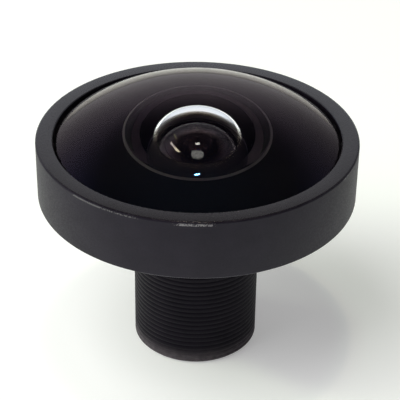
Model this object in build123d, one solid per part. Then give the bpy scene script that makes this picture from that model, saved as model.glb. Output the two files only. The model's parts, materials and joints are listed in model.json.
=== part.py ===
from build123d import *

import math
import os

# Fisheye lens with an M12 thread, in millimetres. The origin is the centre of the barrel's
# rear face, and +Z runs along the optical axis to the domed front glass. Every piece is
# turned about that axis. Heights are worked out from the rear face forwards.

# Head: the screwed ring and the domed front glass
HEAD_DIAMETER = 30.0
RING_HEIGHT = 5.8
RING_FACE_WIDTH = 1.6
RING_SKIRT_WALL = 0.7
RING_STEP_GAP = 0.1
LIP_HEIGHT = 0.37
RING_TOP_CHAMFER = 0.25
RING_BOTTOM_CHAMFER = 0.12
RING_OPENING_CHAMFER = 0.08
DOME_RISE = 4.3
GLASS_UNDER_LIP = 0.3
FRONT_HOLLOW_RADIUS = 5.51
FRONT_HOLLOW_DEPTH = 3.45

# Seal in the face of the barrel's flange
SEAL_GROOVE_INSET = 0.5
SEAL_GROOVE_WIDTH = 1.0
SEAL_GROOVE_DEPTH = 0.7

# Second lens and the spacer that holds it down in the front pocket
SECOND_LENS_RADIUS = 5.15
SECOND_LENS_RIM = 1.31
SECOND_LENS_FRONT_RISE = 1.97
SECOND_LENS_HOLLOW_DEPTH = 2.23
FRONT_SPACER_OVERLAP = 0.95
FRONT_SPACER_LEDGE = 0.7
FRONT_SPACER_THICKNESS = 0.38
FRONT_SPACER_LIP = 0.12
POCKET_FLOOR_RISE = 0.6

# Web inside the barrel that both lens stacks rest on
WEB_THICKNESS = 0.8
WEB_HOLE_RADIUS = 3.0

# Rear stack, from the web backwards
SPACER_WALL = 0.97
THIRD_LENS_RIM = 1.6
THIRD_LENS_FRONT_RISE = 0.69
THIRD_LENS_HOLLOW_DEPTH = 1.35
FILM_THICKNESS = 0.06
SPACER_1_THICKNESS = 1.2
FOURTH_LENS_RIM = 1.5
FOURTH_LENS_FRONT_RISE = 0.77
FOURTH_LENS_BACK_RISE = 0.59
SPACER_2_THICKNESS = 0.9
STOP_THICKNESS = 0.1
STOP_HOLE_RADIUS = 1.3
FIFTH_LENS_RIM = 2.6
FIFTH_LENS_HOLLOW_DEPTH = 0.5
CEMENTED_FACE_RISE = 1.1
SIXTH_LENS_RIM = 1.2
SIXTH_LENS_BACK_RISE = 0.49
SPACER_3_THICKNESS = 2.0
SEVENTH_LENS_RIM = 1.2
SEVENTH_LENS_FRONT_RISE = 0.59
SEVENTH_LENS_HOLLOW_DEPTH = 0.43
LOCK_RING_THICKNESS = 1.26
LOCK_RING_GAP = 0.61
LENS_BEVEL = 0.1

# Filter and the ring that holds it in the rear of the barrel
BARREL_WALL = 1.3
FILTER_LEDGE = 0.4
FILTER_THICKNESS = 0.3
FILTER_RIM_GAP = 0.2
FILTER_RING_HEIGHT = 1.3
FILTER_RING_INSET = 0.3
FILTER_RING_WIDTH = 1.05
RING_EDGE_CHAMFER = 0.12
SPANNER_SLOT_WIDTH = 0.6
SPANNER_SLOT_DEPTH = 0.5

# Threads. The depth, crest and root follow from the pitch.
MOUNT_THREAD_DIAMETER = 12.0
MOUNT_THREAD_PITCH = 0.5
HEAD_THREAD_PITCH = 0.5
FILTER_THREAD_PITCH = 0.35
THREAD_DEPTH_SHARE = 0.54
THREAD_CREST_SHARE = 0.125
FLANK_ANGLE = 30.0
RELIEF_WIDTH = 0.6
RELIEF_EXTRA_DEPTH = 0.05
BARREL_REAR_CHAMFER = 0.3
FLANGE_CHAMFER = 0.15

# Clearances, and the overrun of every cut
SCREW_FIT = 0.05
STACK_FIT = 0.03
SEAT_CLEARANCE = 0.03
FACE_CLEARANCE = 0.01
BULGE_CLEARANCE = 0.1
CUT_OVERRUN = 0.5

# Rear stack in order, each with the thickness of its rim
REAR_STACK = [
    ("third_lens", THIRD_LENS_RIM),
    ("light_shield_1", FILM_THICKNESS),
    ("spacer_1", SPACER_1_THICKNESS),
    ("fourth_lens", FOURTH_LENS_RIM),
    ("spacer_2", SPACER_2_THICKNESS),
    ("aperture_stop", STOP_THICKNESS),
    ("fifth_lens", FIFTH_LENS_RIM),
    ("cement_gap", FACE_CLEARANCE),
    ("sixth_lens", SIXTH_LENS_RIM),
    ("light_shield_2", FILM_THICKNESS),
    ("spacer_3", SPACER_3_THICKNESS),
    ("seventh_lens", SEVENTH_LENS_RIM),
    ("stack_lock_ring", LOCK_RING_THICKNESS),
]


def dome_height(apex, curve_radius, at_radius):
    """Height of a sphere with its top at apex, at a distance from the axis."""
    return apex - curve_radius + math.sqrt(curve_radius**2 - at_radius**2)


def curve_radius_of(reach, rise):
    """Radius of the sphere that rises by rise over a circle of radius reach."""
    return (reach**2 + rise**2) / (2 * rise)


# Heights of the rear half
filter_back = FILTER_RING_INSET + FILTER_RING_HEIGHT
filter_seat = filter_back + FILTER_THICKNESS
stack_back = filter_seat + LOCK_RING_GAP
web_back = stack_back + sum(thickness for _, thickness in REAR_STACK)
pocket_floor = web_back + WEB_THICKNESS
head_base = pocket_floor - POCKET_FLOOR_RISE

# Heights of the front half
second_rim_front = pocket_floor + SECOND_LENS_RIM
second_face_radius = SECOND_LENS_RADIUS - LENS_BEVEL
spacer_hole_radius = SECOND_LENS_RADIUS - FRONT_SPACER_OVERLAP
second_curve_radius = curve_radius_of(second_face_radius, SECOND_LENS_FRONT_RISE)
second_apex = second_rim_front + SECOND_LENS_FRONT_RISE
flange_face = second_rim_front + FRONT_SPACER_THICKNESS + FACE_CLEARANCE
ring_top = head_base + RING_HEIGHT
lip_base = ring_top - LIP_HEIGHT

# Radii of the head
head_radius = HEAD_DIAMETER / 2
opening_radius = head_radius - RING_FACE_WIDTH
skirt_bore_radius = head_radius - RING_SKIRT_WALL
flange_radius = skirt_bore_radius - SCREW_FIT
glass_radius = opening_radius + GLASS_UNDER_LIP

# Dome of the front glass: it meets the lip at the edge of the opening
glass_apex = ring_top + DOME_RISE
lip_contact = lip_base - SEAT_CLEARANCE
dome_radius = curve_radius_of(opening_radius, glass_apex - lip_contact)
glass_face_radius = glass_radius - LENS_BEVEL
glass_rim_front = dome_height(glass_apex, dome_radius, glass_face_radius)

# Radii of the barrel and of the pieces inside it
thread_radius = MOUNT_THREAD_DIAMETER / 2
spacer_radius = SECOND_LENS_RADIUS + FRONT_SPACER_LEDGE
filter_seat_radius = thread_radius - BARREL_WALL
bore_radius = filter_seat_radius - FILTER_LEDGE
stack_radius = bore_radius - STACK_FIT
spacer_bore_radius = stack_radius - SPACER_WALL
clear_radius = spacer_bore_radius - BULGE_CLEARANCE
web_clear_radius = WEB_HOLE_RADIUS - BULGE_CLEARANCE
filter_radius = filter_seat_radius - FILTER_RIM_GAP
filter_ring_radius = filter_seat_radius - SCREW_FIT


def turned(edges):
    """Solid turned about the optical axis from the edges of half its section."""
    return revolve(make_face(Plane.XZ * Curve(edges)), Axis.Z)


def turned_outline(points):
    """Solid turned from a closed outline of straight lines, as radius and height."""
    return turned(Polyline(points, close=True).edges())


def washer(hole_radius, rim_radius, low, high):
    """Plain flat ring."""
    return turned_outline([(hole_radius, low), (rim_radius, low), (rim_radius, high), (hole_radius, high)])


def thread_outline(radius, start, end, pitch, depth_sign):
    """Outline of a thread of closed ridges between two heights.

    The crests lie on the radius. The grooves go inwards for depth_sign -1, as on a bolt,
    and outwards for +1, as in a nut.
    """
    crest = pitch * THREAD_CREST_SHARE
    depth = pitch * THREAD_DEPTH_SHARE
    flank = depth * math.tan(math.radians(FLANK_ANGLE))
    root_radius = radius + depth_sign * depth
    points = [(radius, start)]
    for groove in range(int((end - start) / pitch)):
        foot = start + groove * pitch
        points.append((radius, foot + crest / 2))
        points.append((root_radius, foot + crest / 2 + flank))
        points.append((root_radius, foot + pitch - crest / 2 - flank))
        points.append((radius, foot + pitch - crest / 2))
    points.append((radius, end))
    return points


def cap_arc(reach, rim, rise):
    """Arc of a spherical face from the axis out to its rim. Rise is up for a positive value."""
    curve_radius = curve_radius_of(reach, abs(rise))
    half_angle = math.atan2(abs(rise), reach)
    middle_drop = curve_radius * (1 - math.cos(half_angle))
    middle = (curve_radius * math.sin(half_angle), rim + rise - math.copysign(middle_drop, rise))
    return ThreePointArc((0, rim + rise), middle, (reach, rim))


def lens(rim_radius, back, front, back_face, front_face):
    """Lens with a bevelled cylindrical rim between two heights.

    Each face is its reach from the axis and its rise, which is positive towards the front.
    """
    corners = [
        (front_face[0], front),
        (rim_radius - LENS_BEVEL, front),
        (rim_radius, front - LENS_BEVEL),
        (rim_radius, back + LENS_BEVEL),
        (rim_radius - LENS_BEVEL, back),
        (back_face[0], back),
    ]
    if front_face[0] >= rim_radius - LENS_BEVEL:
        corners.pop(0)
    axis_line = Line((0, front + front_face[1]), (0, back + back_face[1]))
    front_arc = cap_arc(front_face[0], front, front_face[1])
    back_arc = cap_arc(back_face[0], back, back_face[1])
    return turned([front_arc, *Polyline(corners).edges(), back_arc, axis_line])


def slotted(ring, ring_radius, back):
    """Ring with a pair of spanner slots across its rear face."""
    slot = Box(
        2 * (ring_radius + CUT_OVERRUN),
        SPANNER_SLOT_WIDTH,
        SPANNER_SLOT_DEPTH + CUT_OVERRUN,
        align=(Align.CENTER, Align.CENTER, Align.MAX),
    )
    return ring - Pos(0, 0, back + SPANNER_SLOT_DEPTH) * slot


def stack_places():
    """Rear and front height of each piece of the rear stack."""
    places = {}
    front = web_back
    for name, thickness in REAR_STACK:
        places[name] = (front - thickness, front)
        front -= thickness
    return places


def barrel():
    """Threaded tube with the wide flange that carries the head."""
    relief_radius = thread_radius - MOUNT_THREAD_PITCH * THREAD_DEPTH_SHARE - RELIEF_EXTRA_DEPTH
    thread_end = head_base - RELIEF_WIDTH
    groove_outer = glass_radius - SEAL_GROOVE_INSET
    groove_inner = groove_outer - SEAL_GROOVE_WIDTH
    groove_floor = flange_face - SEAL_GROOVE_DEPTH
    filter_thread = thread_outline(
        filter_seat_radius, RING_EDGE_CHAMFER, filter_back, FILTER_THREAD_PITCH, 1
    )
    flange_thread = thread_outline(
        flange_radius, head_base + FLANGE_CHAMFER, flange_face - FLANGE_CHAMFER, HEAD_THREAD_PITCH, -1
    )
    mount_thread = thread_outline(
        thread_radius, BARREL_REAR_CHAMFER, thread_end, MOUNT_THREAD_PITCH, -1
    )
    rear_bores = [
        (filter_seat_radius + RING_EDGE_CHAMFER, 0),
        *filter_thread,
        (filter_seat_radius, filter_seat),
        (bore_radius, filter_seat),
        (bore_radius, web_back),
        (WEB_HOLE_RADIUS, web_back),
        (WEB_HOLE_RADIUS, pocket_floor),
    ]
    front_pockets = [
        (SECOND_LENS_RADIUS + STACK_FIT, pocket_floor),
        (SECOND_LENS_RADIUS + STACK_FIT, second_rim_front),
        (spacer_radius + STACK_FIT, second_rim_front),
        (spacer_radius + STACK_FIT, flange_face),
    ]
    seal_groove = [
        (groove_inner, flange_face),
        (groove_inner, groove_floor),
        (groove_outer, groove_floor),
        (groove_outer, flange_face),
    ]
    flange = [
        (flange_radius - FLANGE_CHAMFER, flange_face),
        *reversed(flange_thread),
        (flange_radius - FLANGE_CHAMFER, head_base),
    ]
    tube = [
        (relief_radius, head_base),
        (relief_radius, thread_end),
        *reversed(mount_thread),
        (thread_radius - BARREL_REAR_CHAMFER, 0),
    ]
    return turned_outline(rear_bores + front_pockets + seal_groove + flange + tube)


def front_ring():
    """Ring that screws over the flange and holds the front glass down by its lip."""
    glass_bore_radius = glass_radius + SCREW_FIT
    step = flange_face + RING_STEP_GAP
    skirt_thread = thread_outline(
        skirt_bore_radius, head_base + RING_BOTTOM_CHAMFER, step, HEAD_THREAD_PITCH, 1
    )
    outside = [
        (head_radius - RING_BOTTOM_CHAMFER, head_base),
        (head_radius, head_base + RING_BOTTOM_CHAMFER),
        (head_radius, ring_top - RING_TOP_CHAMFER),
        (head_radius - RING_TOP_CHAMFER, ring_top),
    ]
    opening = [
        (opening_radius + RING_OPENING_CHAMFER, ring_top),
        (opening_radius, ring_top - RING_OPENING_CHAMFER),
        (opening_radius, lip_base),
        (glass_bore_radius, lip_base),
        (glass_bore_radius, step),
    ]
    skirt = [*reversed(skirt_thread), (skirt_bore_radius + RING_BOTTOM_CHAMFER, head_base)]
    return turned_outline(outside + opening + skirt)


def front_lens():
    """Domed front glass, flat behind, with a deep round hollow in the middle of its back."""
    dome = (glass_face_radius, glass_apex - glass_rim_front)
    hollow = (FRONT_HOLLOW_RADIUS, FRONT_HOLLOW_DEPTH)
    return lens(glass_radius, flange_face, glass_rim_front, hollow, dome)


def front_seal():
    """Rubber ring in the groove of the flange, under the edge of the front glass."""
    section_radius = (SEAL_GROOVE_DEPTH - SEAT_CLEARANCE) / 2
    middle_radius = glass_radius - SEAL_GROOVE_INSET - SEAL_GROOVE_WIDTH / 2
    height = flange_face - SEAL_GROOVE_DEPTH + FACE_CLEARANCE + section_radius
    return Pos(0, 0, height) * Torus(middle_radius, section_radius)


def front_spacer():
    """Ring between the second lens and the front glass, with a lip that follows the lens."""
    lip_back_apex = second_apex + FACE_CLEARANCE
    lip_back_curve = second_curve_radius + FACE_CLEARANCE
    lip_back = dome_height(lip_back_apex, lip_back_curve, spacer_hole_radius)
    lip_middle_radius = (spacer_hole_radius + second_face_radius) / 2
    lip_middle = dome_height(lip_back_apex, lip_back_curve, lip_middle_radius)
    lip_end = dome_height(lip_back_apex, lip_back_curve, second_face_radius)
    top = second_rim_front + FRONT_SPACER_THICKNESS
    corners = [
        (second_face_radius, lip_end),
        (second_face_radius + FACE_CLEARANCE, second_rim_front),
        (spacer_radius, second_rim_front),
        (spacer_radius, top),
        (second_face_radius, top),
        (spacer_hole_radius, lip_back + FRONT_SPACER_LIP),
        (spacer_hole_radius, lip_back),
    ]
    under = ThreePointArc(
        (spacer_hole_radius, lip_back), (lip_middle_radius, lip_middle), (second_face_radius, lip_end)
    )
    return turned([under, *Polyline(corners).edges()])


def second_lens():
    """Steep lens that reaches up into the hollow of the front glass."""
    hollow = (web_clear_radius, SECOND_LENS_HOLLOW_DEPTH)
    bulge = (second_face_radius, SECOND_LENS_FRONT_RISE)
    return lens(SECOND_LENS_RADIUS, pocket_floor, second_rim_front, hollow, bulge)


def third_lens(back, front):
    """Lens that bulges through the web's hole and is hollow behind."""
    hollow = (clear_radius, THIRD_LENS_HOLLOW_DEPTH)
    bulge = (web_clear_radius, THIRD_LENS_FRONT_RISE)
    return lens(stack_radius, back, front, hollow, bulge)


def fourth_lens(back, front):
    """Lens that bulges both ways."""
    back_bulge = (clear_radius, -FOURTH_LENS_BACK_RISE)
    front_bulge = (clear_radius, FOURTH_LENS_FRONT_RISE)
    return lens(stack_radius, back, front, back_bulge, front_bulge)


def fifth_lens(back, front):
    """Front half of the cemented pair, hollow both ways."""
    back_hollow = (clear_radius, CEMENTED_FACE_RISE)
    front_hollow = (clear_radius, -FIFTH_LENS_HOLLOW_DEPTH)
    return lens(stack_radius, back, front, back_hollow, front_hollow)


def sixth_lens(back, front):
    """Rear half of the cemented pair, which fills the hollow of the front half."""
    back_bulge = (clear_radius, -SIXTH_LENS_BACK_RISE)
    front_bulge = (clear_radius, CEMENTED_FACE_RISE)
    return lens(stack_radius, back, front, back_bulge, front_bulge)


def seventh_lens(back, front):
    """Last lens, bulging forwards and slightly hollow behind."""
    hollow = (clear_radius, SEVENTH_LENS_HOLLOW_DEPTH)
    bulge = (clear_radius, SEVENTH_LENS_FRONT_RISE)
    return lens(stack_radius, back, front, hollow, bulge)


def spacer(back, front):
    """Spacer ring of the rear stack, which clears the bulges of the lenses beside it."""
    return washer(spacer_bore_radius, stack_radius, back, front)


def aperture_stop(back, front):
    """Thin plate with the small round hole that sets the aperture."""
    return washer(STOP_HOLE_RADIUS, stack_radius, back, front)


def screwed_ring(hole_radius, ring_radius, back, front, pitch):
    """Ring with an outside thread, bevelled edges and spanner slots in its rear face."""
    thread = thread_outline(
        ring_radius, back + RING_EDGE_CHAMFER, front - RING_EDGE_CHAMFER, pitch, -1
    )
    outline = [
        (hole_radius, front),
        (hole_radius, back + RING_EDGE_CHAMFER),
        (hole_radius + RING_EDGE_CHAMFER, back),
        (ring_radius - RING_EDGE_CHAMFER, back),
        *thread,
        (ring_radius - RING_EDGE_CHAMFER, front),
    ]
    return slotted(turned_outline(outline), ring_radius, back)


def stack_lock_ring(back, front):
    """Ring that clamps the rear stack against the web."""
    return screwed_ring(clear_radius, stack_radius, back, front, FILTER_THREAD_PITCH)


def filter_ring():
    """Ring that screws into the barrel's rear and holds the filter on its seat."""
    hole_radius = filter_ring_radius - FILTER_RING_WIDTH
    return screwed_ring(
        hole_radius, filter_ring_radius, FILTER_RING_INSET, filter_back, FILTER_THREAD_PITCH
    )


def ir_cut_filter():
    """Flat disc of filter glass on its seat in the barrel's rear."""
    disc = Cylinder(filter_radius, FILTER_THICKNESS, align=(Align.CENTER, Align.CENTER, Align.MIN))
    return Pos(0, 0, filter_back) * disc


STACK_MAKERS = {
    "third_lens": third_lens,
    "light_shield_1": spacer,
    "spacer_1": spacer,
    "fourth_lens": fourth_lens,
    "spacer_2": spacer,
    "aperture_stop": aperture_stop,
    "fifth_lens": fifth_lens,
    "sixth_lens": sixth_lens,
    "light_shield_2": spacer,
    "spacer_3": spacer,
    "seventh_lens": seventh_lens,
    "stack_lock_ring": stack_lock_ring,
}


def all_pieces():
    """Every piece of the lens, by its name."""
    pieces = {
        "barrel": barrel(),
        "front_ring": front_ring(),
        "front_lens": front_lens(),
        "front_seal": front_seal(),
        "front_spacer": front_spacer(),
        "second_lens": second_lens(),
        "filter_ring": filter_ring(),
        "ir_cut_filter": ir_cut_filter(),
    }
    places = stack_places()
    for name, maker in STACK_MAKERS.items():
        pieces[name] = maker(*places[name])
    return pieces


os.makedirs("parts", exist_ok=True)
for piece_name, piece in all_pieces().items():
    export_step(piece, f"parts/{piece_name}.step")
print(f"head base {head_base:.3f}, flange face {flange_face:.3f}, ring top {ring_top:.3f}")
print(f"glass apex {glass_apex:.3f}, dome radius {dome_radius:.3f}, glass rim {glass_rim_front:.3f}")
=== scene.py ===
"""Looks of an M12 fisheye lens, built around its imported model.

Lengths are metres, and MM turns a size written in millimetres into one. Every piece is
turned about the optical axis, which is the Z axis of the frame.
"""

import json
import logging
import math
from collections.abc import Callable
from dataclasses import dataclass, replace
from enum import Enum

import bpy
from mathutils import Matrix, Vector


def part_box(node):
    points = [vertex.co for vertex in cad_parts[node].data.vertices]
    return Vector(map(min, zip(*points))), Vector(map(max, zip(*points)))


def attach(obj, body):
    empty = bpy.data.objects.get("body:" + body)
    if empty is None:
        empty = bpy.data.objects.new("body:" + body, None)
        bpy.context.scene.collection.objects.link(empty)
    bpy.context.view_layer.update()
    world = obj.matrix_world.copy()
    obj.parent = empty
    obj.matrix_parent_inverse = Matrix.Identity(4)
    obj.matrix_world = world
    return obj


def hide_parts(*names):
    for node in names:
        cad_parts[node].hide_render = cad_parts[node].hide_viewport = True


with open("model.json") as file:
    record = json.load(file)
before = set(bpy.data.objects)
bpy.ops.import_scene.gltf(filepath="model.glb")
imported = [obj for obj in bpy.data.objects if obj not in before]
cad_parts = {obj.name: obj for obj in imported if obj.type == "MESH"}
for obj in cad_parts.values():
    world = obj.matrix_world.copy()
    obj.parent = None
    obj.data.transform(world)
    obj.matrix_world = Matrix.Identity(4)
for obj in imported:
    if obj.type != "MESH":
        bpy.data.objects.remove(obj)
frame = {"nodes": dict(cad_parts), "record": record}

LOG = logging.getLogger("fisheye_lens")
MM = 0.001
MERGE_DISTANCE = 0.0005 * MM
ROUND_STEPS = 180
ARC_STEPS = 40
EDGE_STEPS = 6
SMOOTH_ANGLE = math.radians(24)
THREAD_DEPTH_SHARE = 0.14
BACK_CLEARANCE = 0.01 * MM
SEAT_CLEARANCE = 0.03 * MM
GROOVE_SHARES = (
    (0.1, 0.03), (0.2, 0.15), (0.3, 0.42), (0.4, 0.78), (0.45, 0.95),
    (0.5, 1.0), (0.55, 0.95), (0.6, 0.78), (0.7, 0.42), (0.8, 0.15), (0.9, 0.03),
)
# Levels of a noise that a pattern runs between.
CLOUD_LEVELS = (0.35, 0.65)
GRAIN_LEVELS = (0.3, 0.7)
HAZE_LEVELS = (0.4, 0.7)
PATCH_LEVELS = (0.3, 0.75)
CHIP_LEVELS = (0.95, 1.05)
FAINTEST_PATCH = 0.6
BLACK = (0, 0, 0, 1)
WHITE = (1, 1, 1, 1)
VIEW_CENTRE = (0.31 * MM, 0, 15.02 * MM)
STRIP_BEND = (-0.462, -0.036, 0.393)

Outline = list[tuple[float, float]]
Place = tuple[float, float, float]
LampColour = tuple[float, float, float]
Colour = tuple[float, float, float, float]
Span = tuple[float, float]
Fade = tuple[float, float, float, float]
Socket = bpy.types.NodeSocket


class Body(Enum):
    """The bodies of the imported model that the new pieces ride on."""

    LENS = "lens_body"
    GLASS = "front_glass"
    RING = "screw_ring"


class Graph:
    """The nodes of one material or of the world, added one at a time."""

    def __init__(self, owner: bpy.types.Material | bpy.types.World) -> None:
        """Empties the owner's node tree.

        Args:
            owner: The material or world that the nodes belong to.
        """
        owner.use_nodes = True
        self.tree = owner.node_tree
        self.tree.nodes.clear()

    def add(self, kind: str, inputs: dict | None = None, **settings: object) -> bpy.types.Node:
        """Adds a node.

        Args:
            kind: The node's type, without its ShaderNode prefix.
            inputs: Value or output socket for each of the node's inputs, by name or number.
            settings: The node's own properties.

        Returns:
            The node.
        """
        node = self.tree.nodes.new("ShaderNode" + kind)
        for key, value in settings.items():
            setattr(node, key, value)
        for key, value in (inputs or {}).items():
            if isinstance(value, Socket):
                self.tree.links.new(value, node.inputs[key])
            else:
                node.inputs[key].default_value = value
        return node

    def math(self, operation: str, *values: object) -> Socket:
        """Adds a Math node, and returns its output."""
        node = self.add("Math", dict(enumerate(values)), operation=operation)
        return node.outputs[0]

    def ramp(self, value: Socket, low: float, high: float,
             start: float = 0.0, end: float = 1.0) -> Socket:
        """Turns a value from low to high smoothly into one from start to end.

        Args:
            value: The output to read.
            low: The value that gives start.
            high: The value that gives end.
            start: The result at and below low.
            end: The result at and above high.

        Returns:
            The result's output.
        """
        inputs = {0: value, 1: low, 2: high, 3: start, 4: end}
        node = self.add("MapRange", inputs, interpolation_type="SMOOTHSTEP", clamp=True)
        return node.outputs[0]

    def noise(self, where: Socket, feature: float, detail: float = 3.0,
              roughness: float = 0.5) -> Socket:
        """Adds noise whose blobs are about as wide as feature, and returns its factor."""
        inputs = {"Vector": where, "Scale": 1 / feature, "Detail": detail, "Roughness": roughness}
        return self.add("TexNoise", inputs).outputs["Fac"]

    def mix_colour(self, share: Socket | float, first: object, second: object) -> Socket:
        """Mixes two colours, by a share of the second, and returns the result's output."""
        node = self.add("Mix", {0: share, 6: first, 7: second}, data_type="RGBA")
        return node.outputs[2]

    def mix_shader(self, share: Socket | float, first: Socket, second: Socket) -> Socket:
        """Mixes two shaders, by a share of the second, and returns the result's output."""
        return self.add("MixShader", {0: share, 1: first, 2: second}).outputs[0]

    def place(self) -> tuple[Socket, Socket, Socket]:
        """Adds the nodes that read where on the piece a point is.

        Returns:
            Outputs for the place, its distance from the axis and its height.
        """
        where = self.add("TexCoord").outputs["Object"]
        flat = self.add("VectorMath", {0: where, 1: (1, 1, 0)}, operation="MULTIPLY").outputs[0]
        radius = self.add("VectorMath", {0: flat}, operation="LENGTH").outputs["Value"]
        height = self.add("SeparateXYZ", {0: where}).outputs["Z"]
        return where, radius, height

    def finish_with(self, shader: Socket) -> None:
        """Links the shader to the material's output."""
        self.add("OutputMaterial", {"Surface": shader})


@dataclass(frozen=True)
class WearAndHighlight:
    """Bare metal that shows on one round edge, in stretches, or a painted highlight drawn as bare
    metal.

    Each stretch has the angles that it starts and ends at, in degrees round the axis with 0
    at the front and more to the right, and the share of it that is bare.
    """

    radius: float
    height: float
    width: float
    stretches: tuple[tuple[float, float, float], ...]
    fade: float
    metal: Colour
    chip: float = 0.24 * MM
    gloss: float = 0.3

    def share(self, graph: Graph) -> Socket:
        """Adds the nodes that give the share of bare metal or painted highlight.

        Args:
            graph: The material that they are added to.

        Returns:
            The share's output.
        """
        where, radius, height = graph.place()
        across = graph.math("DIVIDE", graph.math("SUBTRACT", radius, self.radius), self.width)
        along = graph.math("DIVIDE", graph.math("SUBTRACT", height, self.height), self.width)
        across = graph.math("POWER", across, 2.0)
        along = graph.math("POWER", along, 2.0)
        near = graph.ramp(graph.math("ADD", across, along), 0.5, 1.0, 1.0, 0.0)
        parts = graph.add("SeparateXYZ", {0: where}).outputs
        behind = graph.math("MULTIPLY", parts["Y"], -1.0)
        angle = graph.math("DEGREES", graph.math("ARCTAN2", parts["X"], behind))
        bare = None
        for start, end, amount in self.stretches:
            enter = graph.ramp(angle, start, start + self.fade, 0.0, amount)
            leave = graph.ramp(angle, end - self.fade, end, 1.0, 0.0)
            stretch = graph.math("MULTIPLY", enter, leave)
            bare = stretch if bare is None else graph.math("MAXIMUM", bare, stretch)
        chips = graph.noise(where, self.chip, 2.0)
        chips = graph.math("ADD", chips, bare)
        chips = graph.ramp(chips, *CHIP_LEVELS)
        return graph.math("MULTIPLY", near, chips)

    def over(self, graph: Graph, coat: Socket, normal: Socket) -> Socket:
        """Lays the bare metal or painted highlight over a coat.

        Args:
            graph: The material that it is added to.
            coat: The coat's shader.
            normal: The surface's direction.

        Returns:
            The shader of both.
        """
        metal = graph.add("BsdfPrincipled", {
            "Base Color": self.metal, "Metallic": 1.0, "Roughness": self.gloss, "Normal": normal,
        }).outputs[0]
        return graph.mix_shader(self.share(graph), coat, metal)


@dataclass(frozen=True)
class AnodisedFinish:
    """Black anodised aluminium, blasted before it was dyed.

    Towards the bottom the colour turns paler, in patches, and specks is the share of the cells
    that have a pale speck of dust or bare metal.
    """

    name: str
    dark: Colour
    light: Colour
    roughness: float = 0.5
    roughness_spread: float = 0.06
    specular: float = 0.3
    index: float = 1.5
    sheen: Colour = (0.86, 0.84, 1, 1)
    grain: float = 0.16 * MM
    grain_height: float = 0.004 * MM
    grain_strength: float = 0.6
    cloud: float = 2.4 * MM
    paler_bottom: Colour = (0.125, 0.108, 0.12, 1)
    paler_below: float = 0.0
    paler_fade: float = 1.8 * MM
    paler_patch: float = 0.5 * MM
    specks: float = 0.0
    speck: Colour = (0.45, 0.43, 0.42, 1)
    speck_cell: float = 0.9 * MM
    speck_edge: Span = (0.06, 0.1)
    # Worn edges, and painted highlights drawn as bare metal.
    wear_and_highlights: tuple[WearAndHighlight, ...] = ()

    def pale_bottom(self, graph: Graph, where: Socket, height: Socket, colour: Socket) -> Socket:
        """Pales the lowest part of the dye.

        Args:
            graph: The material.
            where: The place on the piece.
            height: Its height.
            colour: The dye's colour.

        Returns:
            The colour, paler towards the bottom.
        """
        start = self.paler_below - self.paler_fade
        zone = graph.ramp(height, start, self.paler_below, 1.0, 0.0)
        patches = graph.noise(where, self.paler_patch)
        patches = graph.ramp(patches, *PATCH_LEVELS, FAINTEST_PATCH, 1.0)
        return graph.mix_colour(graph.math("MULTIPLY", zone, patches), colour, self.paler_bottom)

    def sprinkle(self, graph: Graph, where: Socket, colour: Socket) -> Socket:
        """Sprinkles specks over the dye.

        Args:
            graph: The material.
            where: The place on the piece.
            colour: The dye's colour.

        Returns:
            The colour with its specks.
        """
        cells = graph.add("TexVoronoi", {"Vector": where, "Scale": 1 / self.speck_cell}).outputs
        pick = graph.add("SeparateColor", {0: cells["Color"]}).outputs[0]
        chosen = graph.math("GREATER_THAN", self.specks, pick)
        dot = graph.ramp(cells["Distance"], *self.speck_edge, 1.0, 0.0)
        return graph.mix_colour(graph.math("MULTIPLY", chosen, dot), colour, self.speck)

    def material(self) -> bpy.types.Material:
        """Builds the material.

        Returns:
            The material.
        """
        made = bpy.data.materials.new(self.name)
        graph = Graph(made)
        where, _, height = graph.place()
        clouds = graph.ramp(graph.noise(where, self.cloud), *CLOUD_LEVELS)
        colour = graph.mix_colour(clouds, self.dark, self.light)
        grain = graph.noise(where, self.grain, 2.0)
        if self.paler_below > 0:
            colour = self.pale_bottom(graph, where, height, colour)
        if self.specks:
            colour = self.sprinkle(graph, where, colour)
        bump = graph.add("Bump", {
            "Strength": self.grain_strength, "Distance": self.grain_height, "Height": grain,
        }).outputs[0]
        smoothest = self.roughness - self.roughness_spread
        roughest = self.roughness + self.roughness_spread
        gloss = graph.ramp(grain, *GRAIN_LEVELS, smoothest, roughest)
        coat = graph.add("BsdfPrincipled", {
            "Base Color": colour, "Roughness": gloss, "Specular IOR Level": self.specular,
            "IOR": self.index, "Specular Tint": self.sheen, "Normal": bump,
        }).outputs[0]
        for wear_and_highlights in self.wear_and_highlights:
            coat = wear_and_highlights.over(graph, coat, bump)
        graph.finish_with(coat)
        return made


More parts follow.
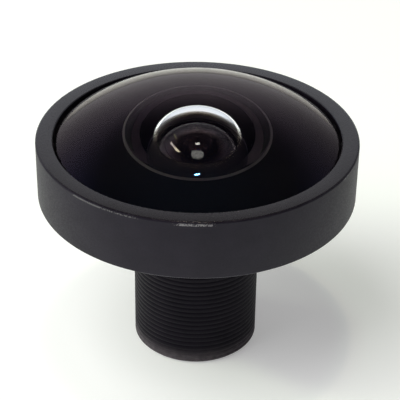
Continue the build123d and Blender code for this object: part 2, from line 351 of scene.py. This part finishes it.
@dataclass(frozen=True)
class GlassFinish:
    """Polished glass with a thin coating.

    Faces within cement_radius of the axis and between the two cement heights are cemented
    to glass of the same index, so light goes straight through them. The coating leaves the
    share kept of the reflection where it isn't total, and the share edge of it where the
    face is seen at a slant.
    """

    name: str
    index: float
    film: float = 0.0
    film_index: float = 1.38
    tint: Colour = WHITE
    mirrored: Colour = WHITE
    cement: Span = (0.0, 0.0)
    cement_radius: float = 3.25 * MM
    kept: float = 1.0
    kept_fresnel: Span = (0.12, 0.3)
    edge: float = 1.0
    edge_facing: Span = (0.25, 0.5)
    haze: float = 0.012
    haze_patch: float = 1.5 * MM

    def material(self) -> bpy.types.Material:
        """Builds the material.

        Returns:
            The material.
        """
        made = bpy.data.materials.new(self.name)
        graph = Graph(made)
        where, radius, height = graph.place()
        haze = graph.ramp(graph.noise(where, self.haze_patch), *HAZE_LEVELS, 0.0, self.haze)
        polished = graph.add("BsdfPrincipled", {
            "Base Color": self.tint, "Roughness": haze, "IOR": self.index,
            "Transmission Weight": 1.0, "Thin Film Thickness": self.film,
            "Thin Film IOR": self.film_index, "Specular Tint": self.mirrored,
        })
        if self.kept < 1:
            fresnel = graph.add("Fresnel", {"IOR": self.index}).outputs[0]
            share = graph.ramp(fresnel, *self.kept_fresnel, self.kept, 1.0)
            colour = graph.mix_colour(share, BLACK, WHITE)
            graph.tree.links.new(colour, polished.inputs["Specular Tint"])
        glass = polished.outputs[0]
        if self.edge < 1:
            facing = graph.add("LayerWeight", {"Blend": 0.5}).outputs["Facing"]
            share = graph.ramp(facing, *self.edge_facing, 0.0, 1 - self.edge)
            bare = graph.add("BsdfRefraction", {
                "Color": self.tint, "Roughness": 0.0, "IOR": self.index,
            })
            glass = graph.mix_shader(share, glass, bare.outputs[0])
        low, high = self.cement
        if high > low:
            above = graph.math("GREATER_THAN", height, low)
            below = graph.math("LESS_THAN", height, high)
            within = graph.math("LESS_THAN", radius, self.cement_radius)
            joined = graph.math("MULTIPLY", graph.math("MULTIPLY", above, below), within)
            clear = graph.add("BsdfTransparent").outputs[0]
            glass = graph.mix_shader(joined, glass, clear)
        graph.finish_with(glass)
        return made


@dataclass(frozen=True)
class FilterFinish:
    """Flat coated plate that light goes straight through, with a cyan cast and a pink sheen."""

    name: str
    cast: Colour = (0.93, 0.97, 0.95, 1)
    sheen: Colour = (1.0, 0.62, 0.7, 1)
    index: float = 1.52
    haze: Span = (0.01, 0.03)
    haze_patch: float = 1.2 * MM

    def material(self) -> bpy.types.Material:
        """Builds the material.

        Returns:
            The material.
        """
        made = bpy.data.materials.new(self.name)
        graph = Graph(made)
        where, _, _ = graph.place()
        haze = graph.ramp(graph.noise(where, self.haze_patch), *HAZE_LEVELS, *self.haze)
        clear = graph.add("BsdfTransparent", {"Color": self.cast}).outputs[0]
        gloss = graph.add("BsdfGlossy", {"Color": self.sheen, "Roughness": haze}).outputs[0]
        share = graph.add("Fresnel", {"IOR": self.index}).outputs[0]
        graph.finish_with(graph.mix_shader(share, clear, gloss))
        return made


@dataclass(frozen=True)
class MatteFinish:
    """Matte black of paint, film, rubber or an inner ring, slightly uneven; some are made paler to
    paint in stray light.
    """

    name: str
    dark: Colour
    light: Colour
    roughness: float = 0.7
    specular: float = 0.3
    grain: float = 0.12 * MM
    grain_height: float = 0.003 * MM
    grain_strength: float = 0.5

    def material(self) -> bpy.types.Material:
        """Builds the material.

        Returns:
            The material.
        """
        made = bpy.data.materials.new(self.name)
        graph = Graph(made)
        where, _, _ = graph.place()
        grain = graph.noise(where, self.grain)
        colour = graph.mix_colour(grain, self.dark, self.light)
        bump = graph.add("Bump", {
            "Strength": self.grain_strength, "Distance": self.grain_height, "Height": grain,
        })
        shader = graph.add("BsdfPrincipled", {
            "Base Color": colour, "Roughness": self.roughness,
            "Specular IOR Level": self.specular, "Normal": bump.outputs[0],
        }).outputs[0]
        graph.finish_with(shader)
        return made


def rounding(centre: tuple[float, float], radius: float, start: float, end: float) -> Outline:
    """Points of a rounded edge.

    Args:
        centre: Centre of the rounding, as distance from the axis and height.
        radius: Its radius.
        start: Angle that it starts at, in degrees, with 0 outwards and 90 upwards.
        end: Angle that it ends at.

    Returns:
        The points, from the start to the end.
    """
    points = []
    for step in range(EDGE_STEPS + 1):
        angle = math.radians(start + (end - start) * step / EDGE_STEPS)
        points.append((centre[0] + radius * math.cos(angle), centre[1] + radius * math.sin(angle)))
    return points


def arc(reach: float, rim: float, rise: float) -> Outline:
    """Points of a spherical face from its apex on the axis to its rim.

    Args:
        reach: Radius of the rim.
        rim: Height of the rim.
        rise: Height of the apex above the rim, negative where it lies below.

    Returns:
        The points, as distance from the axis and height.
    """
    curve_radius = (reach**2 + rise**2) / (2 * abs(rise))
    whole = 2 * math.atan2(abs(rise), reach)
    points = []
    for step in range(ARC_STEPS + 1):
        angle = whole * step / ARC_STEPS
        drop = curve_radius * (1 - math.cos(angle))
        points.append((curve_radius * math.sin(angle), rim + rise - math.copysign(drop, rise)))
    return points


def ridges(radius: float, start: float, end: float, pitch: float, outwards: float) -> Outline:
    """Outline of closed thread ridges between two heights, with rounded crests and roots.

    Args:
        radius: Radius of the crests.
        start: Height that the thread starts from.
        end: Height that it runs to.
        pitch: Distance from ridge to ridge.
        outwards: -1 for grooves cut into a shaft, 1 for those cut into a bore.

    Returns:
        The points, from the start to the end.
    """
    depth = pitch * THREAD_DEPTH_SHARE
    sign = 1 if end > start else -1
    points = [(radius, start)]
    for groove in range(int(abs(end - start) / pitch)):
        for along, level in GROOVE_SHARES:
            height = start + sign * pitch * (groove + along)
            points.append((radius + outwards * level * depth, height))
    points.append((radius, end))
    return points


class Turning:
    """A piece turned on a lathe: an outline drawn point by point and spun about the axis."""

    def __init__(self, name: str, outline: Outline) -> None:
        """Draws the outline and spins it.

        Args:
            name: The piece's name.
            outline: Distance from the axis and height of each point.
        """
        bpy.ops.object.select_all(action="DESELECT")
        radius, height = outline[0]
        bpy.ops.mesh.primitive_plane_add(size=MM)
        self.piece = bpy.context.object
        self.piece.name = self.piece.data.name = name
        bpy.ops.object.mode_set(mode="EDIT")
        bpy.ops.mesh.merge(type="CENTER")
        bpy.ops.transform.translate(value=(radius, 0, height))
        for last, point in zip(outline, outline[1:]):
            move = (point[0] - last[0], 0, point[1] - last[1])
            bpy.ops.mesh.extrude_vertices_move(TRANSFORM_OT_translate={"value": move})
        bpy.ops.mesh.select_all(action="SELECT")
        bpy.ops.mesh.remove_doubles(threshold=MERGE_DISTANCE)
        bpy.ops.mesh.spin(steps=ROUND_STEPS, angle=math.tau, center=(0, 0, 0), axis=(0, 0, 1))
        self.close()

    def close(self) -> None:
        """Merges the seam and the poles, turns the faces outwards and smooths the curves."""
        bpy.ops.mesh.select_all(action="SELECT")
        bpy.ops.mesh.remove_doubles(threshold=MERGE_DISTANCE)
        bpy.ops.mesh.normals_make_consistent(inside=False)
        bpy.ops.object.mode_set(mode="OBJECT")
        bpy.ops.object.shade_smooth_by_angle(angle=SMOOTH_ANGLE)

    def finish_faces(self, material: bpy.types.Material,
                     chosen: Callable[[float, float], bool]) -> None:
        """Gives some faces a finish of their own.

        Args:
            material: The finish.
            chosen: Says whether a face takes it, from the distance from the axis and the
                height of the face's middle.
        """
        mesh = self.piece.data
        mesh.materials.append(material)
        slot = len(mesh.materials) - 1
        for face in mesh.polygons:
            centre = face.center
            if chosen(math.hypot(centre.x, centre.y), centre.z):
                face.material_index = slot

    def dress(self, material: bpy.types.Material, body: Body, slot: str, *nodes: str) -> None:
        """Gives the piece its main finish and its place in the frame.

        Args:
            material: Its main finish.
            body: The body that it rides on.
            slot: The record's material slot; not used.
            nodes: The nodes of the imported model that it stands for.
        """
        self.piece.data.materials.clear()
        self.piece.data.materials.append(material)
        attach(self.piece, body.value)
        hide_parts(*nodes)
        faces = len(self.piece.data.polygons)
        LOG.info("%s: %d faces, rides on %s", self.piece.name, faces, body.value)


@dataclass
class FrontGlass:
    """Domed front glass with a flat back and a deep hollow in its middle."""

    radius: float
    back: float
    apex: float
    opening_radius: float
    contact_height: float
    hollow_radius: float = 5.51 * MM
    hollow_depth: float = 3.45 * MM
    bevel: float = 0.1 * MM
    mouth_bevel: float = 0.08 * MM
    coat: GlassFinish = GlassFinish("front_glass", 1.77, 115.0, 1.43)
    hollow_coat: GlassFinish = GlassFinish("front_glass_hollow", 1.77, 104.0, 1.34, kept=0.06)
    back_paint: MatteFinish = MatteFinish(
        "back_paint", (0.006, 0.004, 0.0065, 1), (0.009, 0.006, 0.0095, 1), specular=0.1,
    )
    # Painted light: the black paint on the glass's rim is given a pale purple, standing in for
    # stray light seen through the glass's inner reflections.
    side_paint_painted_light: MatteFinish = MatteFinish(
        "side_paint_painted_light", (0.17, 0.12, 0.158, 1), (0.23, 0.164, 0.215, 1), specular=0.1,
    )
    ground_edge: MatteFinish = MatteFinish(
        "ground_edge", (0.13, 0.105, 0.12, 1), (0.2, 0.165, 0.185, 1),
        roughness=0.8, specular=0.2,
    )

    def outline(self) -> Outline:
        """Draws the half section.

        Returns:
            The points, from the top of the dome to the top of the hollow.
        """
        rise = self.apex - self.contact_height
        dome_radius = (self.opening_radius**2 + rise**2) / (2 * rise)
        face_radius = self.radius - self.bevel
        drop = dome_radius - math.sqrt(dome_radius**2 - face_radius**2)
        dome = arc(face_radius, self.apex - drop, drop)
        hollow = arc(self.hollow_radius, self.back, self.hollow_depth)
        mouth = [point for point in hollow if point[1] > self.back + self.mouth_bevel]
        rim = [
            (self.radius, self.apex - drop - self.bevel),
            (self.radius, self.back + self.bevel),
            (face_radius, self.back),
            (self.hollow_radius + self.mouth_bevel, self.back),
        ]
        return dome + rim + mouth[::-1]

    def build(self) -> None:
        """Models the glass and dresses it."""
        turning = Turning("dome_glass", self.outline())
        turning.dress(self.coat.material(), Body.GLASS, "front_glass", "front_lens")
        side = self.radius - self.bevel
        flat = self.back + 0.5 * self.bevel
        paint = self.back_paint.material()
        side_paint_painted_light = self.side_paint_painted_light.material()
        turning.finish_faces(paint, lambda radius, height: height < flat)
        turning.finish_faces(side_paint_painted_light, lambda radius, height: radius > side)
        above_hollow = self.back + self.hollow_depth + self.bevel
        turning.finish_faces(
            self.hollow_coat.material(),
            lambda radius, height: radius < self.hollow_radius and flat < height < above_hollow,
        )
        mouth_inside = self.hollow_radius - self.mouth_bevel
        mouth_outside = self.hollow_radius + self.mouth_bevel
        mouth_top = self.back + self.mouth_bevel
        turning.finish_faces(
            self.ground_edge.material(),
            lambda radius, height: mouth_inside < radius < mouth_outside and height < mouth_top,
        )


@dataclass
class HeadRing:
    """Black ring that screws over the barrel's flange and holds the glass down."""

    radius: float
    base: float
    top: float
    flange_face: float
    glass_radius: float
    face_width: float = 1.6 * MM
    skirt_wall: float = 0.7 * MM
    lip_height: float = 0.37 * MM
    step_gap: float = 0.1 * MM
    top_rounding: float = 0.22 * MM
    base_rounding: float = 0.18 * MM
    skirt_chamfer: float = 0.12 * MM
    opening_chamfer: float = 0.08 * MM
    screw_fit: float = 0.05 * MM
    pitch: float = 0.5 * MM
    side: AnodisedFinish = AnodisedFinish(
        "ring_anodised", (0.007, 0.005, 0.0095, 1), (0.0102, 0.0078, 0.0135, 1), specular=0.34,
    )
    face: AnodisedFinish = AnodisedFinish(
        "ring_face_anodised", (0.0035, 0.0025, 0.005, 1), (0.0055, 0.004, 0.0075, 1),
        roughness=0.25, specular=0.64, index=1.6, sheen=(0.86, 0.9, 1, 1),
    )

    @property
    def opening_radius(self) -> float:
        """Radius of the round opening in the ring's face."""
        return self.radius - self.face_width

    @property
    def lip_base(self) -> float:
        """Height of the lip's underside."""
        return self.top - self.lip_height

    def outline(self) -> Outline:
        """Draws the half section.

        Returns:
            The points, from the foot of the outer wall round to the foot of the skirt's bore.
        """
        bore = self.radius - self.skirt_wall
        glass_bore = self.glass_radius + self.screw_fit
        step = self.flange_face + self.step_gap
        thread = ridges(bore, step, self.base + self.skirt_chamfer, self.pitch, 1)
        foot = (self.radius - self.base_rounding, self.base + self.base_rounding)
        shoulder = (self.radius - self.top_rounding, self.top - self.top_rounding)
        points = [
            *rounding(foot, self.base_rounding, -90, 0),
            *rounding(shoulder, self.top_rounding, 0, 90),
            (self.opening_radius + self.opening_chamfer, self.top),
            (self.opening_radius, self.top - self.opening_chamfer),
            (self.opening_radius, self.lip_base),
            (glass_bore, self.lip_base),
            (glass_bore, step),
            *thread,
            (bore + self.skirt_chamfer, self.base),
        ]
        return [*points, points[0]]

    def worn_edges_and_highlights(self) -> tuple[WearAndHighlight, ...]:
        """Says where the ring's edges are worn to the metal, and where bare metal paints a
        highlight.

        Returns:
            The painted highlight line under the top edge, the chips at its front, and the painted
            highlight on the foot's edge.
        """
        # Painted highlight: a dull bare-metal line under the top edge, placed at the angles where
        # the rounded edge catches light, brightest at the front-left.
        painted_highlight_line = WearAndHighlight(
            self.radius - 0.02 * MM, self.top - 0.2 * MM, 0.1 * MM,
            ((-50.0, -28.0, 0.62), (-44.0, -15.0, 0.5), (10.0, 18.0, 0.42), (55.0, 75.0, 0.4),
             (150.0, 172.0, 0.4)),
            fade=6.0, metal=(0.13, 0.126, 0.134, 1), chip=0.16 * MM,
        )
        front_chips = WearAndHighlight(
            self.radius, self.top - 0.24 * MM, 0.16 * MM, ((-10.0, 9.0, 0.54),),
            fade=5.0, metal=(0.21, 0.2, 0.215, 1), chip=0.13 * MM,
        )
        # Painted highlight: a bare-metal line on the foot's rounded edge, at the front and at the
        # back right, where it catches the floor's light.
        inset = 0.3 * self.base_rounding
        painted_foot_highlight = WearAndHighlight(
            self.radius - inset, self.base + inset, 0.06 * MM,
            ((-24.0, 32.0, 0.75), (118.0, 140.0, 0.6)), fade=8.0, metal=(0.1, 0.094, 0.12, 1),
        )
        return painted_highlight_line, front_chips, painted_foot_highlight

    def build(self) -> None:
        """Models the ring and dresses it."""
        turning = Turning("head_ring", self.outline())
        side = replace(self.side, wear_and_highlights=self.worn_edges_and_highlights())
        turning.dress(side.material(), Body.RING, "ring_anodised", "front_ring")
        flat = self.top - 0.5 * self.opening_chamfer
        turning.finish_faces(self.face.material(), lambda radius, height: height > flat)


@dataclass
class Barrel:
    """Threaded tube with the wide flange that carries the head."""

    head_base: float
    flange_face: float
    flange_radius: float
    glass_radius: float
    thread_radius: float = 6.0 * MM
    pitch: float = 0.5 * MM
    relief_width: float = 0.6 * MM
    relief_depth: float = 0.32 * MM
    rear_chamfer: float = 0.3 * MM
    flange_chamfer: float = 0.15 * MM
    filter_seat_radius: float = 4.7 * MM
    filter_seat: float = 1.9 * MM
    bore_radius: float = 4.3 * MM
    web_radius: float = 3.0 * MM
    web_back: float = 16.2 * MM
    web_front: float = 17.0 * MM
    pocket_radius: float = 5.18 * MM
    spacer_radius: float = 5.88 * MM
    spacer_seat: float = 18.31 * MM
    seal_inset: float = 0.5 * MM
    seal_width: float = 1.0 * MM
    seal_depth: float = 0.7 * MM
    edge_chamfer: float = 0.12 * MM
    filter_pitch: float = 0.35 * MM
    filter_runout: float = 0.3 * MM
    # Paler in patches towards the rear end, below 1.9 mm.
    finish: AnodisedFinish = AnodisedFinish(
        "barrel_anodised", (0.0042, 0.0033, 0.0056, 1), (0.0064, 0.005, 0.008, 1), specular=0.13,
        sheen=(0.86, 0.8, 1, 1), paler_below=1.9 * MM, specks=0.012,
    )

    def outline(self) -> Outline:
        """Draws the half section.

        Returns:
            The points, from the rear face through the bores and back down the outside.
        """
        seal_outer = self.glass_radius - self.seal_inset
        seal_inner = seal_outer - self.seal_width
        relief = self.thread_radius - self.relief_depth
        thread_end = self.head_base - self.relief_width
        filter_end = self.filter_seat - self.filter_runout
        flange_end = self.head_base + self.flange_chamfer
        points = [
            (self.filter_seat_radius + self.edge_chamfer, 0),
            *ridges(self.filter_seat_radius, self.edge_chamfer, filter_end, self.filter_pitch, 1),
            (self.filter_seat_radius, self.filter_seat),
            (self.bore_radius, self.filter_seat),
            (self.bore_radius, self.web_back),
            (self.web_radius, self.web_back),
            (self.web_radius, self.web_front),
            (self.pocket_radius, self.web_front),
            (self.pocket_radius, self.spacer_seat),
            (self.spacer_radius, self.spacer_seat),
            (self.spacer_radius, self.flange_face),
            (seal_inner, self.flange_face),
            (seal_inner, self.flange_face - self.seal_depth),
            (seal_outer, self.flange_face - self.seal_depth),
            (seal_outer, self.flange_face),
            (self.flange_radius - self.flange_chamfer, self.flange_face),
            *ridges(self.flange_radius, self.flange_face - self.flange_chamfer, flange_end,
                    self.pitch, -1),
            (self.flange_radius - self.flange_chamfer, self.head_base),
            (relief, self.head_base),
            (relief, thread_end),
            *ridges(self.thread_radius, thread_end, self.rear_chamfer, self.pitch, -1),
            (self.thread_radius - self.rear_chamfer, 0),
        ]
        return [*points, points[0]]

    def build(self) -> None:
        """Models the barrel and dresses it."""
        turning = Turning("threaded_barrel", self.outline())
        turning.dress(self.finish.material(), Body.LENS, "barrel_anodised", "barrel")


@dataclass
class SecondGlass:
    """Steep second lens, which reaches up into the hollow of the front glass."""

    pocket_floor: float = 17.0 * MM
    radius: float = 5.15 * MM
    rim: float = 1.31 * MM
    rise: float = 1.97 * MM
    hollow_reach: float = 2.9 * MM
    hollow_depth: float = 2.23 * MM
    bevel: float = 0.1 * MM
    finish: GlassFinish = GlassFinish(
        "second_glass", 1.77, tint=(0.22, 0.18, 0.19, 1), mirrored=(0.5, 0.33, 0.42, 1), edge=0.28,
    )
    paint: MatteFinish = MatteFinish(
        "second_edge_paint", (0.004, 0.0035, 0.004, 1), (0.007, 0.006, 0.007, 1), specular=0.1,
    )
    hollow_edge: float = 0.25
    hollow_facing: Span = (0.04, 0.16)

    def outline(self) -> Outline:
        """Draws the half section.

        Returns:
            The points, from the top of the bulge to the top of the hollow.
        """
        front = self.pocket_floor + self.rim
        rim = [
            (self.radius, front - self.bevel),
            (self.radius, self.pocket_floor + self.bevel),
            (self.radius - self.bevel, self.pocket_floor),
        ]
        bulge = arc(self.radius - self.bevel, front, self.rise)
        hollow = arc(self.hollow_reach, self.pocket_floor, self.hollow_depth)
        return bulge + rim + hollow[::-1]

    def build(self) -> None:
        """Models the lens and dresses it."""
        turning = Turning("second_glass", self.outline())
        turning.dress(self.finish.material(), Body.LENS, "inner_glass", "second_lens")
        side = self.radius - self.bevel
        floor = self.pocket_floor + 0.5 * self.bevel
        paint = self.paint.material()
        turning.finish_faces(paint, lambda radius, height: radius > side or height < floor)
        coat = replace(
            self.finish, name="second_glass_hollow", edge=self.hollow_edge,
            edge_facing=self.hollow_facing,
        )
        roof = self.pocket_floor + self.hollow_depth + self.bevel
        turning.finish_faces(
            coat.material(),
            lambda radius, height: radius < self.hollow_reach and floor < height < roof,
        )


@dataclass
class HiddenPieces:
    """Lenses, spacers, films and rings that stay as packed and only take a finish."""

    film: float = 110.0
    tint: Colour = (0.96, 0.97, 0.96, 1)
    cement: Span = (8.2 * MM, 9.4 * MM)

    def glass(self, name: str, index: float, cement: Span = (0.0, 0.0)) -> GlassFinish:
        """Describes the coated glass of one lens.

        Args:
            name: The material's name.
            index: The glass's index.
            cement: Heights that its cemented face lies between.

        Returns:
            The finish.
        """
        return GlassFinish(name, index, self.film, tint=self.tint, cement=cement)

    def finishes(self) -> dict[str, GlassFinish | FilterFinish | MatteFinish]:
        """Describes the finishes.

        Returns:
            Each finish, by the name of its node or else of its material slot.
        """
        return {
            "inner_black": MatteFinish(
                "inner_black", (0.004, 0.0035, 0.0035, 1), (0.007, 0.006, 0.006, 1),
            ),
            "black_film": MatteFinish(
                "black_film", (0.004, 0.004, 0.004, 1), (0.008, 0.008, 0.008, 1),
            ),
            "seal_rubber": MatteFinish(
                "seal_rubber", (0.01, 0.01, 0.01, 1), (0.02, 0.02, 0.02, 1),
            ),
            # Painted light: the spacer is paler than black, standing in for the stray light seen
            # on it through the hollow.
            "front_spacer": MatteFinish(
                "front_spacer_painted_light", (0.024, 0.018, 0.0225, 1), (0.034, 0.026, 0.032, 1),
                roughness=0.8, specular=0.0,
            ),
            "third_lens": self.glass("third_glass", 1.9),
            "fourth_lens": self.glass("fourth_glass", 1.53),
            "fifth_lens": self.glass("fifth_glass", 1.8, self.cement),
            "sixth_lens": self.glass("sixth_glass", 1.8, self.cement),
            "seventh_lens": self.glass("seventh_glass", 1.9),
            "filter_glass": FilterFinish("filter_glass"),
        }

    def build(self) -> None:
        """Dresses the pieces."""
        made = {key: finish.material() for key, finish in self.finishes().items()}
        for entry in frame["record"]["subparts"]:
            name, slot = entry["node"], entry["material_slot"]
            node = frame["nodes"][name]
            material = made.get(name) or made.get(slot)
            if material is not None and not node.hide_render:
                node.data.materials.clear()
                node.data.materials.append(material)
                LOG.info("%s: as packed, finished with %s", name, material.name)


@dataclass(frozen=True)
class SoftLamp:
    """Square lamp that shines at the lens and shows in no reflection."""

    name: str
    place: Place
    size: float
    power: float

    def hang(self, target: Vector) -> None:
        """Hangs the lamp.

        Args:
            target: Where it shines.
        """
        data = bpy.data.lights.new(self.name, "AREA")
        data.shape, data.size, data.energy = "SQUARE", self.size, self.power
        lamp = bpy.data.objects.new(self.name, data)
        lamp.location = self.place
        lamp.rotation_euler = (target - Vector(self.place)).to_track_quat("-Z", "Y").to_euler()
        lamp.visible_glossy = lamp.visible_transmission = False
        bpy.context.scene.collection.objects.link(lamp)


@dataclass(frozen=True)
class StripLamp:
    """Long lamp from one place to another, which shows through glass.

    It shows in reflections too, unless it is for the inside of the glass alone.
    """

    name: str
    start: Place
    end: Place
    width: float
    power: float
    colour: LampColour
    inside_alone: bool = True

    def hang(self, target: Vector) -> None:
        """Hangs the lamp.

        Args:
            target: Where it shines.
        """
        start, end = Vector(self.start), Vector(self.end)
        data = bpy.data.lights.new(self.name, "AREA")
        data.shape, data.color = "RECTANGLE", self.colour
        data.size, data.size_y, data.energy = (end - start).length, self.width, self.power
        lamp = bpy.data.objects.new(self.name, data)
        middle = (start + end) / 2
        along = (end - start).normalized()
        out = middle - target
        out = (out - along * out.dot(along)).normalized()
        turn = Matrix((along, out.cross(along), out)).transposed()
        lamp.matrix_world = Matrix.Translation(middle) @ turn.to_4x4()
        lamp.visible_glossy = not self.inside_alone
        bpy.context.scene.collection.objects.link(lamp)


@dataclass
class Studio:
    """Pale floor, soft light and the camera at the photograph's angle.

    A fade is the value that it starts from, the value that it runs to, and the strength at
    each. The fades of the sky read its direction, so 1 is straight up, back or right.
    """

    target: Vector
    distance: float = 0.140
    elevation: float = math.radians(32.23)
    roll: float = math.radians(0.82)
    focal_pixels: float = 1469.8
    frame_pixels: float = 400.0
    sensor: float = 36.0
    clip: Span = (0.01, 10.0)
    floor_size: float = 3.0
    paper: Colour = (0.8, 0.8, 0.8, 1)
    floor_glow: float = 0.3
    floor_glow_mirrored: float = 0.21
    horizon: Colour = (0.92, 0.95, 1, 1)
    ceiling: Colour = (1, 0.9, 0.8, 1)
    ceiling_fade: Fade = (0.3, 0.8, 0.0, 1.0)
    overhead_fade: Fade = (0.42, 0.78, 0.7, 0.08)
    front_fade: Fade = (-0.8, 0.1, 0.35, 1.0)
    left_fade: Fade = (-0.5, -0.2, 0.82, 1.0)
    right_fade: Fade = (0.0, 0.7, 1.0, 0.42)
    glass_overhead_fade: Fade = (0.58, 0.84, 1.0, 0.1)
    glass_front_fade: Fade = (0.3, 0.8, 0.0, 1.0)
    lamps: tuple[SoftLamp | StripLamp, ...] = (
        SoftLamp("key", (-0.3, -0.14, 0.52), 0.5, 2.9),
        SoftLamp("side", (-0.5, -0.28, 0.1), 0.3, 0.75),
        StripLamp("glint", (-0.009, 0.017, 0.604), (0.011, 0.017, 0.604), 0.012, 0.22,
                  (1, 0.8, 0.6), inside_alone=False),
        StripLamp("inner_glint", (-0.056, 0.013, 0.65), (0.058, 0.013, 0.65), 0.07, 0.4,
                  (0.7, 1, 0.74)),
        StripLamp("low_strip", (-0.516, 0.162, 0.273), STRIP_BEND, 0.036, 0.4,
                  (0.85, 1, 0.75)),
        StripLamp("high_strip", STRIP_BEND, (-0.39, -0.168, 0.445), 0.045, 0.4,
                  (0.8, 1, 0.55)),
    )

    def camera(self) -> None:
        """Places the camera."""
        data = bpy.data.cameras.new("camera")
        data.sensor_width = self.sensor
        data.lens = self.focal_pixels / self.frame_pixels * self.sensor
        data.clip_start, data.clip_end = self.clip
        eye = bpy.data.objects.new("camera", data)
        back = Vector((0, -math.cos(self.elevation), math.sin(self.elevation)))
        up = Vector((0, math.sin(self.elevation), math.cos(self.elevation)))
        right = Vector((1, 0, 0))
        across = right * math.cos(self.roll) + up * math.sin(self.roll)
        upward = up * math.cos(self.roll) - right * math.sin(self.roll)
        turn = Matrix((across, upward, back)).transposed()
        eye.matrix_world = Matrix.Translation(self.target + back * self.distance) @ turn.to_4x4()
        bpy.context.scene.collection.objects.link(eye)
        bpy.context.scene.camera = eye

    def floor(self) -> None:
        """Lays the pale floor, which shows white and keeps the lens's shadow."""
        bpy.ops.object.select_all(action="DESELECT")
        bpy.ops.mesh.primitive_plane_add(size=self.floor_size)
        floor = bpy.context.object
        floor.name = "floor"
        made = bpy.data.materials.new("pale_floor")
        graph = Graph(made)
        path = graph.add("LightPath").outputs
        direct = graph.math("MULTIPLY", path["Is Camera Ray"], self.floor_glow)
        mirrored = graph.math("MULTIPLY", path["Is Glossy Ray"], self.floor_glow_mirrored)
        seen = graph.math("MAXIMUM", direct, mirrored)
        seen = graph.math("MAXIMUM", seen, path["Is Transmission Ray"])
        paper = graph.add("BsdfDiffuse", {"Color": self.paper}).outputs[0]
        glow = graph.add("Emission", {"Color": WHITE, "Strength": seen})
        graph.finish_with(graph.add("AddShader", {0: paper, 1: glow.outputs[0]}).outputs[0])
        floor.data.materials.append(made)

    def world(self) -> None:
        """Makes the sky, which is pale behind and dims overhead, in front and at the sides."""
        world = bpy.data.worlds.new("studio")
        bpy.context.scene.world = world
        graph = Graph(world)
        direction = graph.add("TexCoord").outputs["Generated"]
        parts = graph.add("SeparateXYZ", {0: direction}).outputs
        high = graph.ramp(parts["Z"], *self.overhead_fade)
        front = graph.ramp(parts["Y"], *self.front_fade)
        left = graph.ramp(parts["X"], *self.left_fade)
        right = graph.ramp(parts["X"], *self.right_fade)
        sides = graph.math("MULTIPLY", left, right)
        light = graph.math("MULTIPLY", graph.math("MULTIPLY", high, front), sides)
        path = graph.add("LightPath").outputs
        camera = path["Is Camera Ray"]
        behind = graph.ramp(parts["Z"], *self.glass_overhead_fade)
        near_back = graph.ramp(parts["Y"], *self.glass_front_fade)
        behind = graph.math("MULTIPLY", behind, near_back)
        behind = graph.math("MULTIPLY", behind, path["Is Transmission Ray"])
        strength = graph.math("MAXIMUM", graph.math("MAXIMUM", light, behind), camera)
        ceiling = graph.ramp(parts["Z"], *self.ceiling_fade)
        colour = graph.mix_colour(ceiling, self.horizon, self.ceiling)
        colour = graph.mix_colour(camera, colour, WHITE)
        background = graph.add("Background", {"Color": colour, "Strength": strength})
        graph.add("OutputWorld", {"Surface": background.outputs[0]})

    def build(self) -> None:
        """Sets up the whole studio."""
        self.camera()
        self.floor()
        self.world()
        for lamp in self.lamps:
            lamp.hang(self.target)
        bpy.context.scene.view_settings.view_transform = "Standard"


def main() -> None:
    """Builds the pieces in order, then the studio."""
    logging.basicConfig(level=logging.INFO, format="%(name)s: %(message)s")
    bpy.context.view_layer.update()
    ring_low, ring_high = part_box("front_ring")
    glass_low, glass_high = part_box("front_lens")
    _, barrel_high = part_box("barrel")
    ring = HeadRing(ring_high.x, ring_low.z, ring_high.z, barrel_high.z, glass_high.x)
    ring.build()
    FrontGlass(
        glass_high.x, glass_low.z + BACK_CLEARANCE, glass_high.z, ring.opening_radius,
        ring.lip_base - SEAT_CLEARANCE,
    ).build()
    Barrel(ring_low.z, barrel_high.z, barrel_high.x, glass_high.x).build()
    SecondGlass().build()
    HiddenPieces().build()
    Studio(Vector(VIEW_CENTRE)).build()


if __name__ == "__main__":
    main()
